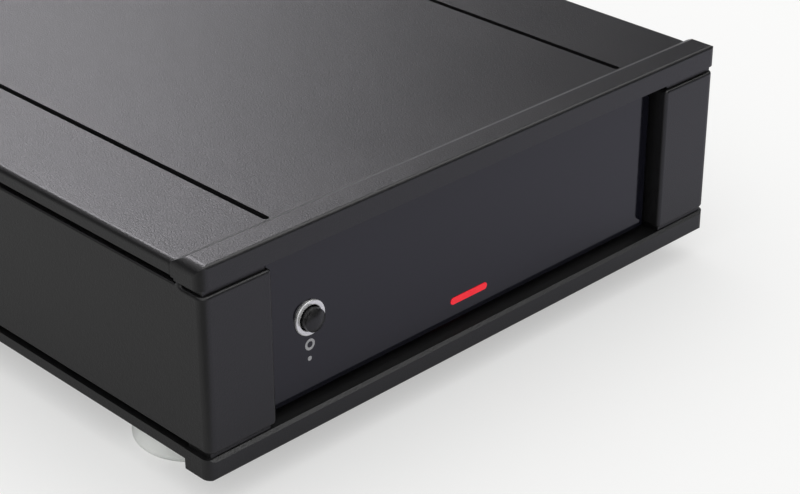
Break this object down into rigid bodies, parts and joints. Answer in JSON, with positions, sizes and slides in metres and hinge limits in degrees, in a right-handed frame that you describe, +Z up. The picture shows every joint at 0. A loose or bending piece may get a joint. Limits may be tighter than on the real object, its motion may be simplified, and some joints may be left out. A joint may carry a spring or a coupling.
{
  "type": "phono preamplifier",
  "caption": "Half-width phono preamplifier: metal case with a raised front rail, set-back gloss fascia, latching power button, phono sockets, ground terminal and fused mains inlet.",
  "frame": {"origin": "on the floor plane, under the middle of the overall bounding box (front rail to the tip of the ground terminal)", "axes": "+X to the right seen from the front, +Y from the front to the rear, +Z up"},
  "size_m": [0.2182, 0.32, 0.0774],
  "materials": {
    "case_paint": "fine textured dark grey powder coat over aluminium",
    "fascia_gloss": "smooth gloss over dark grey",
    "inner_black": "matt black paint",
    "button_cap": "satin black moulding",
    "bright_plate": "bright plating",
    "red_light": "clear red moulding",
    "foot_shell": "translucent pale elastomer",
    "foot_core": "matt black rubber",
    "zinc_steel": "bright zinc plating",
    "black_steel": "black oxide",
    "gold_plate": "thin gold plating",
    "collar_red": "moulded",
    "collar_white": "moulded",
    "black_moulding": "moulded, fine spark texture",
    "white_moulding": "moulded",
    "blue_moulding": "moulded",
    "fuse_glass": "clear glass tube with plated caps",
    "board_green": "solder mask on laminate",
    "winding": "wound insulating film",
    "pad_rubber": "matt rubber",
    "capacitor_sleeve": "shrink sleeve with a bare top",
    "film_capacitor": "dipped film",
    "black_aluminium": "black anodised",
    "chip_epoxy": "moulded epoxy",
    "lead_insulation": "extruded insulation",
    "plain_steel": "folded sheet"
  },
  "bodies": {
    "chassis": {"amplifier_chips": "chip_epoxy", "base_screws": "black_steel", "base_tray": "case_paint", "board_standoffs": "zinc_steel", "button_bezel": "bright_plate", "fascia_panel": "fascia_gloss", "foot_boot_front_left": "foot_shell", "foot_boot_front_right": "foot_shell", "foot_boot_rear_left": "foot_shell", "foot_boot_rear_right": "foot_shell", "foot_core_front_left": "foot_core", "foot_core_front_right": "foot_core", "foot_core_rear_left": "foot_core", "foot_core_rear_right": "foot_core", "ground_post": "gold_plate", "heat_sinks": "black_aluminium", "indicator_board": "board_green", "indicator_leds": "red_light", "indicator_window": "red_light", "inlet_pins": "bright_plate", "inner_front_plate": "inner_black", "left_side_panel": "case_paint", "loading_switch": "blue_moulding", "main_board": "board_green", "mains_inlet": "black_moulding", "mains_leads": "lead_insulation", "mains_transformer": "winding", "mc_input_sockets": "gold_plate", "mm_input_sockets": "gold_plate", "output_sockets": "gold_plate", "rear_panel": "case_paint", "rear_panel_screws": "black_steel", "regulators": "chip_epoxy", "reservoir_capacitors": "capacitor_sleeve", "right_side_panel": "case_paint", "selector_switch": "plain_steel", "signal_capacitors": "film_capacitor", "socket_collars_red": "collar_red", "socket_collars_white": "collar_white", "socket_contacts": "gold_plate", "socket_inserts": "white_moulding", "switch_bracket": "plain_steel", "switch_housing": "black_moulding", "switch_spring": "zinc_steel", "top_cover": "case_paint", "transformer_clamp": "zinc_steel", "transformer_pads": "pad_rubber"},
    "power_button": {"power_button": "button_cap", "button_rod": "black_moulding"},
    "fuse_drawer": {"fuse_drawer": "black_moulding", "mains_fuse": "fuse_glass"},
    "ground_washer": {"ground_washer": "gold_plate"},
    "ground_thumb_nut": {"ground_thumb_nut": "gold_plate"},
    "selector_lever": {"selector_lever": "black_moulding"},
    "loading_lever_1": {"loading_lever_1": "white_moulding"},
    "loading_lever_2": {"loading_lever_2": "white_moulding"},
    "loading_lever_3": {"loading_lever_3": "white_moulding"},
    "loading_lever_4": {"loading_lever_4": "white_moulding"},
    "loading_lever_5": {"loading_lever_5": "white_moulding"},
    "loading_lever_6": {"loading_lever_6": "white_moulding"}
  },
  "joints": [
    {"name": "power_button_press", "type": "slide", "parent": "chassis", "child": "power_button", "axis": [0, 1, 0], "range_m": [0, 0.003], "stiffness_N_per_m": 150, "springref_m": -0.003, "deforming": ["switch_spring"]},
    {"name": "fuse_drawer_slide", "type": "slide", "parent": "chassis", "child": "fuse_drawer", "axis": [0, 1, 0], "range_m": [0, 0.014]},
    {"name": "ground_washer_slide", "type": "slide", "parent": "chassis", "child": "ground_washer", "axis": [0, 1, 0], "range_m": [0, 0.00281]},
    {"name": "ground_thumb_nut_turn", "type": "hinge", "parent": "ground_washer", "child": "ground_thumb_nut", "pos_m": [0.09, 0.154, 0.0475], "axis": [0, 1, 0], "range_deg": [0, 1440]},
    {"name": "selector_slide", "type": "slide", "parent": "chassis", "child": "selector_lever", "axis": [1, 0, 0], "range_m": [0, 0.0046]},
    {"name": "loading_lever_1_slide", "type": "slide", "parent": "chassis", "child": "loading_lever_1", "axis": [0, 0, 1], "range_m": [0, 0.0021]},
    {"name": "loading_lever_2_slide", "type": "slide", "parent": "chassis", "child": "loading_lever_2", "axis": [0, 0, 1], "range_m": [0, 0.0021]},
    {"name": "loading_lever_3_slide", "type": "slide", "parent": "chassis", "child": "loading_lever_3", "axis": [0, 0, 1], "range_m": [0, 0.0021]},
    {"name": "loading_lever_4_slide", "type": "slide", "parent": "chassis", "child": "loading_lever_4", "axis": [0, 0, 1], "range_m": [0, 0.0021]},
    {"name": "loading_lever_5_slide", "type": "slide", "parent": "chassis", "child": "loading_lever_5", "axis": [0, 0, 1], "range_m": [0, 0.0021]},
    {"name": "loading_lever_6_slide", "type": "slide", "parent": "chassis", "child": "loading_lever_6", "axis": [0, 0, 1], "range_m": [0, 0.0021]}
  ],
  "couplings": [
    {"joint": "ground_washer_slide", "follows": "ground_thumb_nut_turn", "m_per_rad": 0.00011141}
  ]
}
